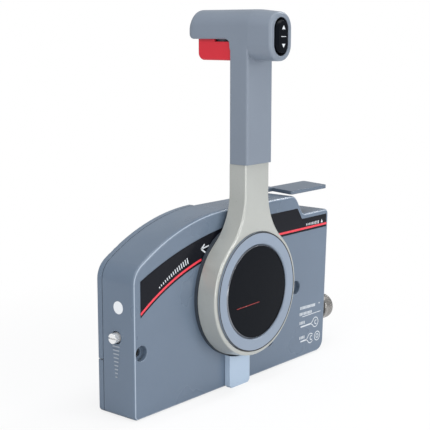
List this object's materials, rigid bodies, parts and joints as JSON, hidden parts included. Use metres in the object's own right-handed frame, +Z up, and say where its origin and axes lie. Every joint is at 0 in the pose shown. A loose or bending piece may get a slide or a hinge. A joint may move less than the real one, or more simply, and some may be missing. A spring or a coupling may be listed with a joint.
{
  "type": "boat throttle control lever",
  "caption": "Side-mounted engine remote control: stepped housing, upright lever with a cross-head grip, neutral lock, trim rocker, idle lever, key and stop switches.",
  "frame": {"origin": "where the lever's axis meets the mounting plane at the back of the housing", "axes": "+X to the stern end with the key switch, +Y into the panel the box is screwed to, +Z up along the lever in neutral"},
  "size_m": [0.2812, 0.0875, 0.3117],
  "materials": {
    "housing_plastic": "satin blue-grey moulding",
    "steel": "zinc-plated",
    "bronze": "plain bearing metal",
    "black_plastic": "matt black",
    "switch_metal": "dull nickel",
    "red_plastic": "gloss red",
    "film": "black film",
    "pale_plastic": "pale blue-grey",
    "rubber": "matt",
    "cast_silver": "silver-painted die casting",
    "ring_grey": "satin blue-grey",
    "grip_plastic": "matt grey, soft to the hand",
    "spring_steel": "oiled",
    "gear_plastic": "natural gear plastic"
  },
  "bodies": {
    "housing": {"front_cover": "housing_plastic", "back_plate": "housing_plastic", "lower_back_cover": "housing_plastic", "back_plate_screws": "steel", "lower_cover_screws": "steel", "mounting_sleeves": "steel", "front_bush": "bronze", "rear_bush": "bronze", "neutral_plate": "black_plastic", "neutral_plate_screws": "steel", "sector_studs": "steel", "detent_spring": "spring_steel", "detent_screw": "steel", "key_switch_body": "switch_metal", "key_switch_nut": "switch_metal", "key_bezel": "switch_metal", "stop_switch_body": "black_plastic", "stop_switch_collar": "black_plastic", "face_decal": "film", "trim_lead_cover": "pale_plastic", "lead_grommet": "rubber", "cable_grommets": "rubber", "cable_saddle": "black_plastic", "cable_strap": "steel", "strap_screws": "steel"},
    "lever": {"lever_arm": "cast_silver", "channel_cover": "grip_plastic", "ring_cover": "ring_grey", "centre_cap": "black_plastic", "lever_bolt": "steel", "lever_washer": "steel", "main_shaft": "steel", "shaft_washer": "steel", "drive_gear": "gear_plastic", "detent_disc": "steel", "grip_shell": "grip_plastic", "grip_back_cover": "grip_plastic", "grip_screws": "steel", "rocker_bezel": "black_plastic", "trim_switch_body": "black_plastic", "rocker_pin": "steel", "trigger_spring": "spring_steel"},
    "neutral_lock": {"trigger": "red_plastic", "lock_rod": "steel"},
    "trim_rocker": {"trim_rocker": "black_plastic"},
    "free_throttle": {"free_throttle_lever": "grip_plastic"},
    "throttle_side": {"throttle_sector": "gear_plastic", "throttle_cable_pin": "steel"},
    "shift_side": {"shift_sector": "gear_plastic", "shift_cable_pin": "steel"},
    "friction_screw": {"friction_screw": "steel", "friction_clip": "spring_steel"},
    "friction_shoe": {"friction_shoe": "black_plastic"},
    "key_cylinder": {"key_barrel": "switch_metal"},
    "stop_button": {"stop_button": "red_plastic"}
  },
  "joints": [
    {"name": "lever_swing", "type": "hinge", "parent": "housing", "child": "lever", "pos_m": [0, 0, 0], "axis": [0, 1, 0], "range_deg": [-90, 65]},
    {"name": "trigger_pull", "type": "slide", "parent": "lever", "child": "neutral_lock", "axis": [0, 0, 1], "range_m": [0, 0.007], "stiffness_N_per_m": 900, "springref_m": -0.004, "deforming": ["trigger_spring"]},
    {"name": "trim_rocker_tilt", "type": "hinge", "parent": "lever", "child": "trim_rocker", "pos_m": [0, -0.0751, 0.20815], "axis": [1, 0, 0], "range_deg": [-7, 7], "stiffness_Nm_per_rad": 0.4},
    {"name": "free_throttle_swing", "type": "hinge", "parent": "housing", "child": "free_throttle", "pos_m": [0, 0, 0], "axis": [0, 1, 0], "range_deg": [-55, 0]},
    {"name": "throttle_turn", "type": "hinge", "parent": "housing", "child": "throttle_side", "pos_m": [-0.06127, -0.02, -0.0185], "axis": [0, 1, 0], "range_deg": [-21.8, 30.2]},
    {"name": "shift_turn", "type": "hinge", "parent": "housing", "child": "shift_side", "pos_m": [0.06127, -0.02, -0.0185], "axis": [0, 1, 0], "range_deg": [-21.8, 30.2]},
    {"name": "friction_adjust", "type": "hinge", "parent": "housing", "child": "friction_screw", "pos_m": [-0.1253, -0.0204, -0.0185], "axis": [1, 0, 0], "range_deg": [0, 360]},
    {"name": "friction_shoe_slide", "type": "slide", "parent": "housing", "child": "friction_shoe", "axis": [1, 0, 0], "range_m": [0, 0.001]},
    {"name": "key_turn", "type": "hinge", "parent": "housing", "child": "key_cylinder", "pos_m": [0.12803, -0.0234, -0.0463], "axis": [-0.9991, 0, 0.0428], "range_deg": [0, 90]},
    {"name": "stop_push", "type": "slide", "parent": "housing", "child": "stop_button", "axis": [-0.9991, 0, 0.0428], "range_m": [0, 0.004], "stiffness_N_per_m": 600, "springref_m": -0.003}
  ],
  "couplings": [
    {"joint": "throttle_turn", "follows": "lever_swing", "ratio": -0.33333},
    {"joint": "shift_turn", "follows": "lever_swing", "ratio": -0.33333},
    {"joint": "friction_adjust", "follows": "friction_shoe_slide", "rad_per_m": 6283.2}
  ]
}
